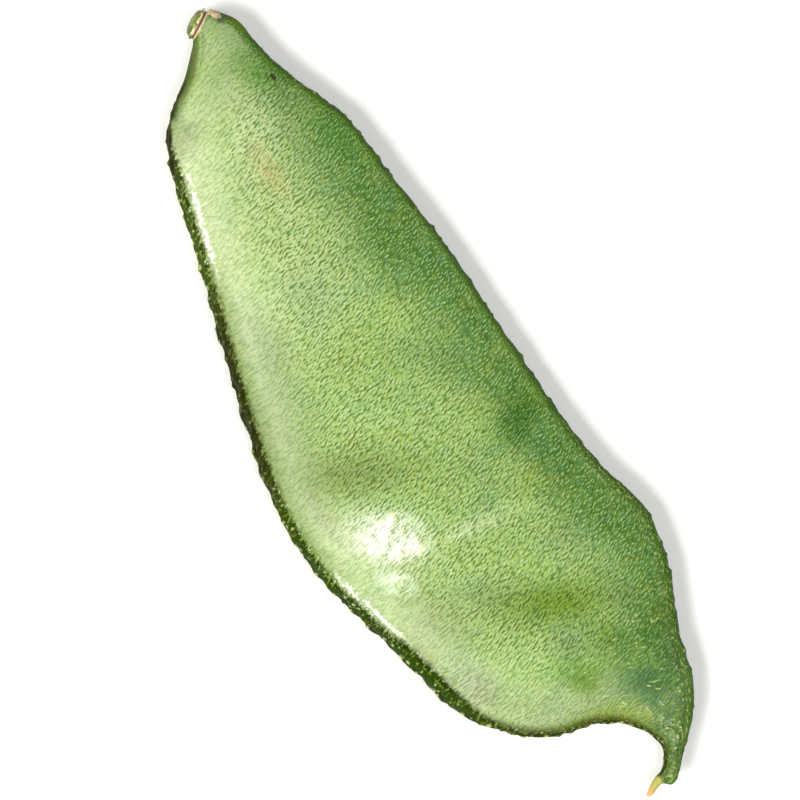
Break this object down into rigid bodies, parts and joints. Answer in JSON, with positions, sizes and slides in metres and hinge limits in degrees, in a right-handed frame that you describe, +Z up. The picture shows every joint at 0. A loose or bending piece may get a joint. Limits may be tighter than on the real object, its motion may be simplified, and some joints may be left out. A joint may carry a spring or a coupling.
{
  "type": "hyacinth bean pod",
  "caption": "Flat green bean pod with rough suture ribs, low bulges over the seeds, a hooked beak with its style, a dry calyx collar and a short stalk stub; lies on one side.",
  "frame": {"origin": "centre of the bounding box's underside, on the surface that the pod lies on", "axes": "+X from the stalk to the beak, +Y to the straighter margin, +Z up, square to the flat of the pod"},
  "size_m": [0.0852, 0.0304, 0.0061],
  "materials": {
    "pod": "waxy green skin with fine wrinkles",
    "calyx": "dry, papery",
    "stalk": "green, slightly rough"
  },
  "bodies": {
    "root": {"pod": "pod", "calyx": "calyx", "stalk": "stalk"}
  },
  "joints": []
}
